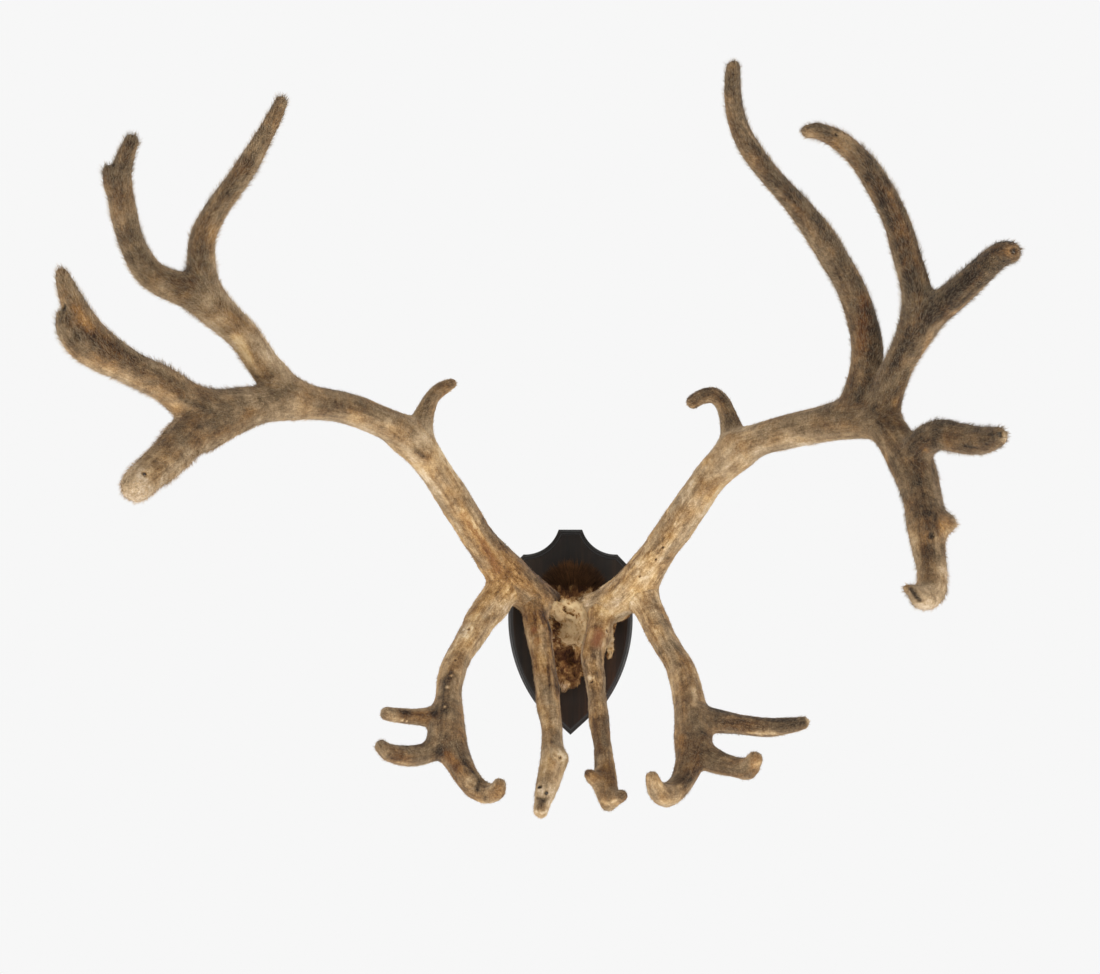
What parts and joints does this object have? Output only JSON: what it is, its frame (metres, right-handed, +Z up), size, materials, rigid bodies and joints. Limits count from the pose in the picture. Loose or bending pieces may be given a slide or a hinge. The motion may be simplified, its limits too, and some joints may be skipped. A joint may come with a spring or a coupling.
{
  "type": "caribou antler mount",
  "caption": "Caribou antlers in velvet with brow, bez, rear, crown and palm tines, on a hide-covered skull plate screwed to a dark wooden shield that hangs on a wall.",
  "frame": {"origin": "centre of the shield's flat back, on the wall plane", "axes": "+Z up, -Y towards the viewer, +X to the right as seen from the front"},
  "size_m": [1.1847, 0.4934, 0.9611],
  "materials": {
    "velvet": "short matted velvet hair over bone, tan near the skull and greyer brown outwards",
    "hide": "dry woolly hide, folded and torn at its edges",
    "crown_hair": "coarse dark brown hair",
    "shield_wood": "dark stained wood, satin, with a worked edge",
    "hanger_steel": "zinc-plated steel"
  },
  "bodies": {
    "root": {"left_lower_beam": "velvet", "left_upper_beam": "velvet", "left_rear_tine": "velvet", "left_crown_stem": "velvet", "left_crown_outer_tine": "velvet", "left_crown_inner_tine": "velvet", "left_palm_stem": "velvet", "left_palm_upper_tine": "velvet", "left_palm_lower_tine": "velvet", "left_brow_tine": "velvet", "left_bez_stem": "velvet", "left_bez_upper_prong": "velvet", "left_bez_lower_prong": "velvet", "left_bez_front_prong": "velvet", "right_lower_beam": "velvet", "right_upper_beam": "velvet", "right_rear_tine": "velvet", "right_crown_inner_tine": "velvet", "right_crown_stem": "velvet", "right_crown_middle_tine": "velvet", "right_crown_outer_tine": "velvet", "right_palm_stem": "velvet", "right_palm_side_tine": "velvet", "right_palm_lower_tine": "velvet", "right_brow_tine": "velvet", "right_bez_stem": "velvet", "right_bez_long_prong": "velvet", "right_bez_lower_prong": "velvet", "right_bez_front_prong": "velvet", "scalp": "hide", "crown_hair": "crown_hair", "shield": "shield_wood", "hanger_plate": "hanger_steel", "upper_hanger_screw": "hanger_steel", "lower_hanger_screw": "hanger_steel", "upper_skull_screw": "hanger_steel", "lower_skull_screw": "hanger_steel"}
  },
  "joints": []
}
